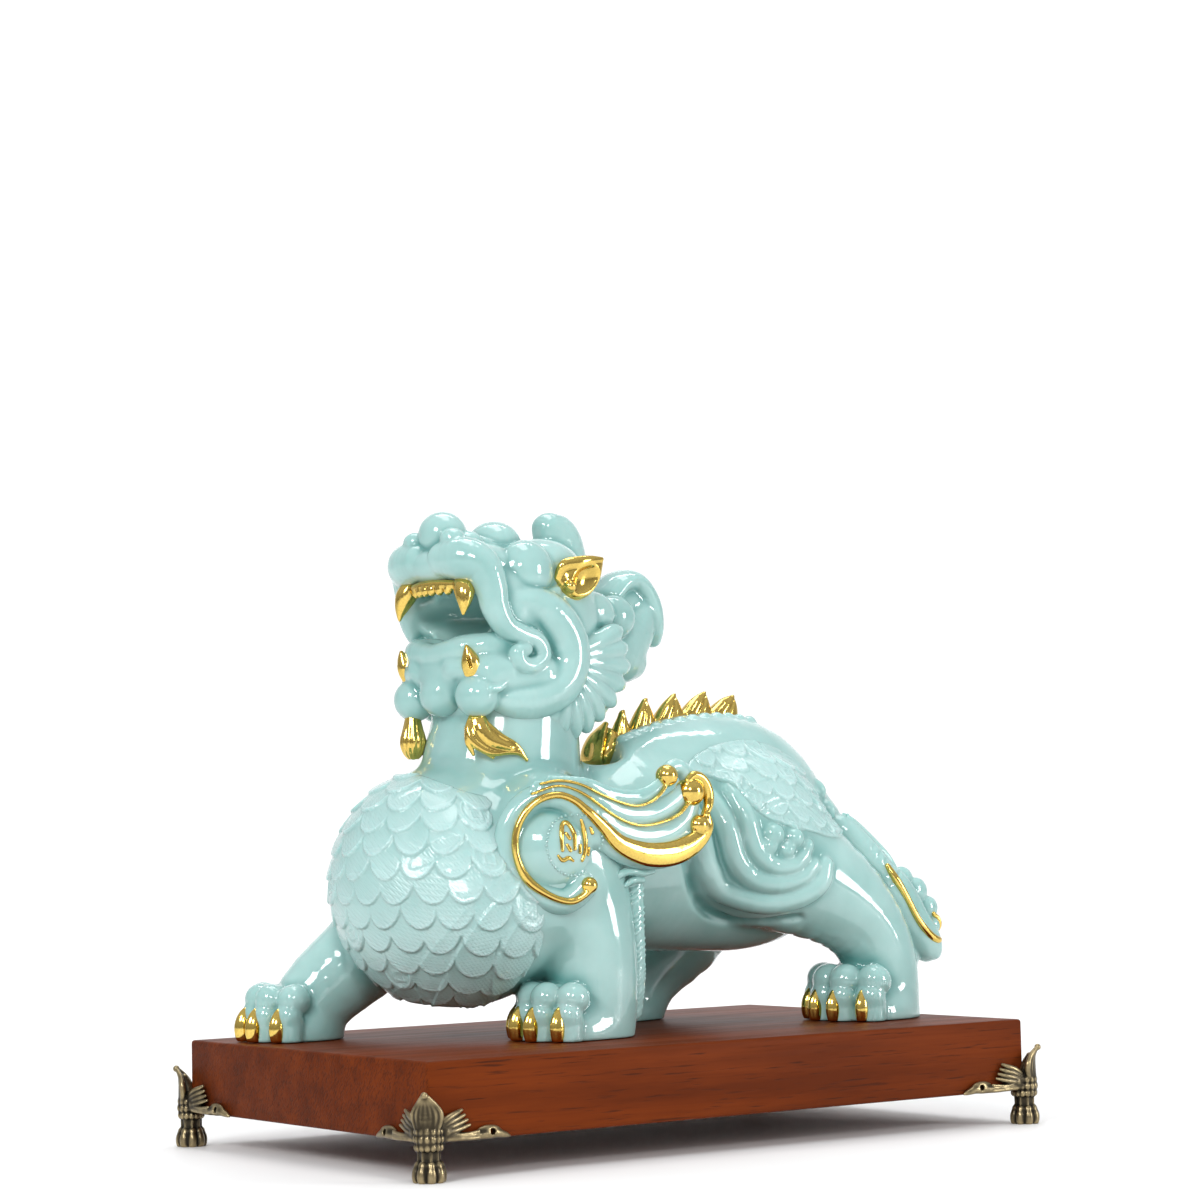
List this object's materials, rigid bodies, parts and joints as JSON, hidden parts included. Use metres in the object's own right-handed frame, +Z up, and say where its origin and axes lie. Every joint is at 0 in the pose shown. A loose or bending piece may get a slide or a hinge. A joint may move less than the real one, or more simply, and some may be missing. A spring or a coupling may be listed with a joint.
{
  "type": "pixiu figure",
  "caption": "Striding pixiu cast in pale green resin with gilded details, standing on a wooden slab with cast corner feet.",
  "frame": {"origin": "on the table, under the middle of the slab", "axes": "+Z up, the head looks towards -X, the figure's left side faces -Y"},
  "size_m": [0.3766, 0.2416, 0.3202],
  "materials": {
    "jade_resin": "polished pale green translucent resin, frosted on the scales",
    "gilding": "bright mirror gilding over the resin",
    "stained_wood": "red-brown stained wood with a satin varnish",
    "antique_brass": "antiqued brass, dark in the hollows and bright on the worn edges"
  },
  "bodies": {
    "root": {"pixiu": "jade_resin", "plinth": "stained_wood", "foot_front_left": "antique_brass", "foot_front_right": "antique_brass", "foot_back_left": "antique_brass", "foot_back_right": "antique_brass"}
  },
  "joints": []
}
